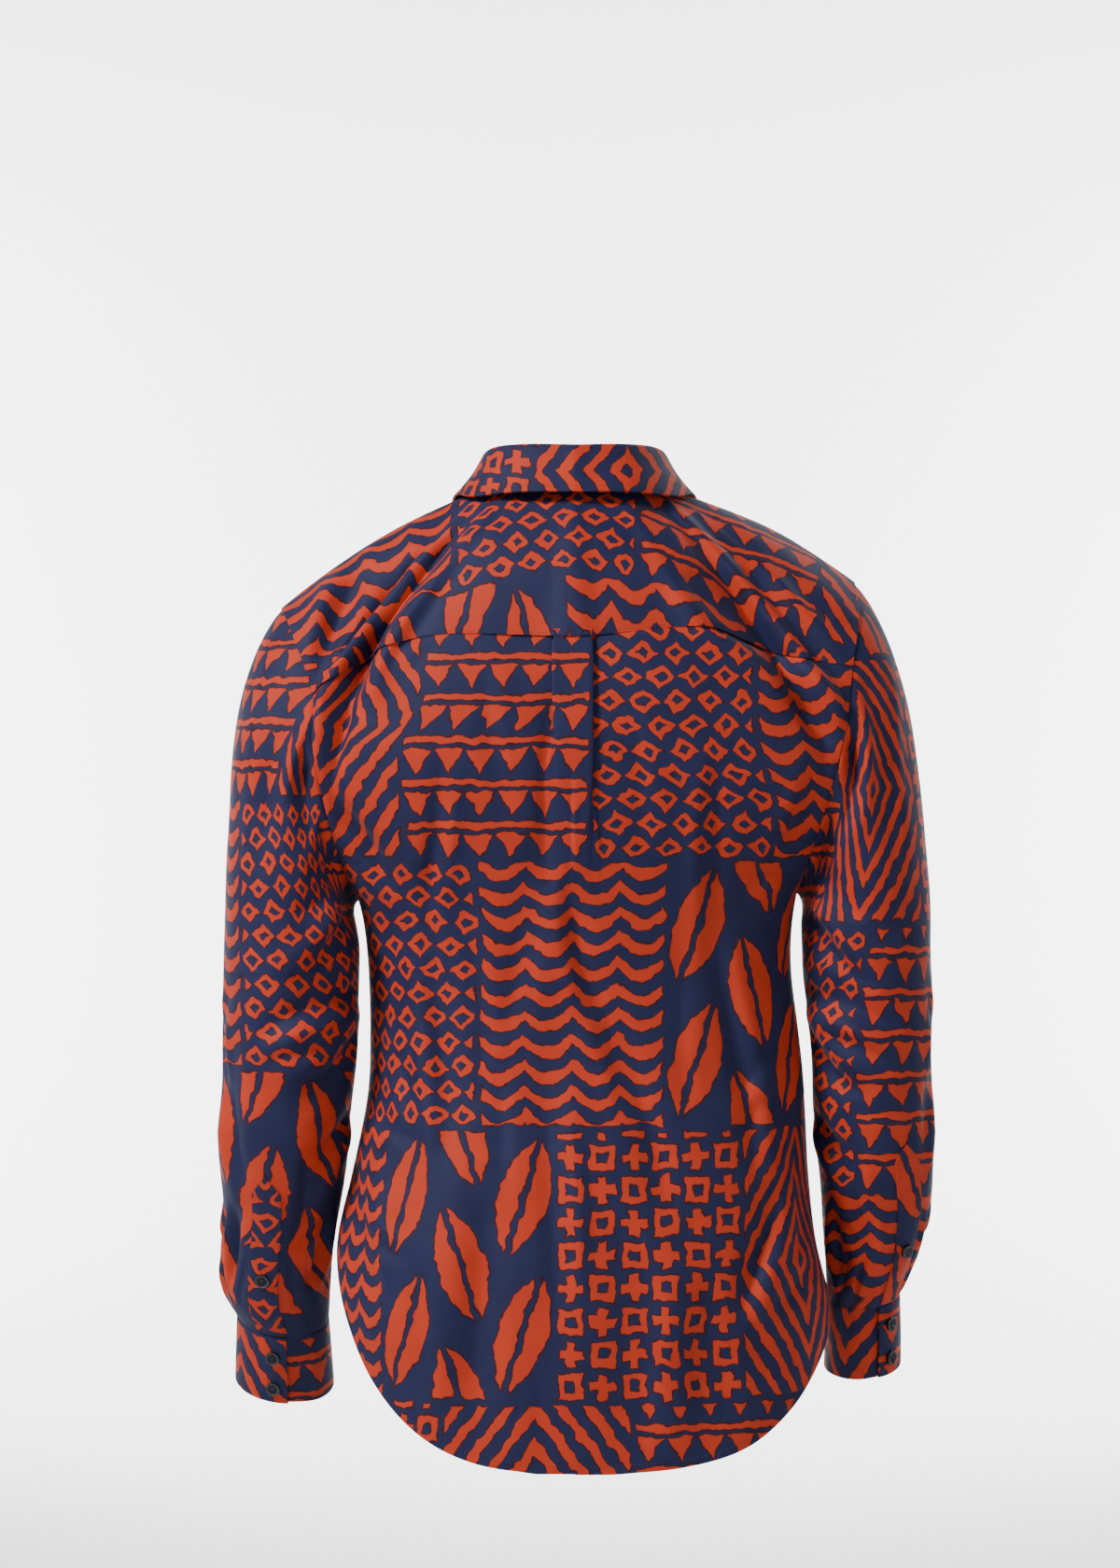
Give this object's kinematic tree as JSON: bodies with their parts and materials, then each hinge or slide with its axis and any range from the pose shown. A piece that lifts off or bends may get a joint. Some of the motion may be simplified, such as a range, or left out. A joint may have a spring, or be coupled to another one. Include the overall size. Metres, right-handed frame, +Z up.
{
  "type": "african print shirt",
  "caption": "Long-sleeved button shirt in printed cotton, hollow as worn, with a yoke, box pleat, turned-down collar, pointed sleeve plackets and buttoned cuffs.",
  "frame": {"origin": "middle of the neck opening, at the height where the collar meets the shoulders", "axes": "+Z up, -Y the way the front faces, +X towards the wearer's left arm"},
  "size_m": [0.5703, 0.2506, 0.8024],
  "materials": {
    "print_cloth": "printed cotton poplin, soft sheen",
    "buttons": "polished"
  },
  "bodies": {
    "root": {"back": "print_cloth", "yoke": "print_cloth", "front_left": "print_cloth", "front_right": "print_cloth", "front_placket": "print_cloth", "collar_stand": "print_cloth", "collar_leaf": "print_cloth", "sleeve_left": "print_cloth", "sleeve_right": "print_cloth", "sleeve_placket_left": "print_cloth", "sleeve_placket_right": "print_cloth", "cuff_left": "print_cloth", "cuff_right": "print_cloth", "button_front_1": "buttons", "button_front_2": "buttons", "button_front_3": "buttons", "button_front_4": "buttons", "button_front_5": "buttons", "button_front_6": "buttons", "button_stand": "buttons", "button_sleeve_left": "buttons", "button_cuff_left_1": "buttons", "button_cuff_left_2": "buttons", "button_sleeve_right": "buttons", "button_cuff_right_1": "buttons", "button_cuff_right_2": "buttons"}
  },
  "joints": []
}
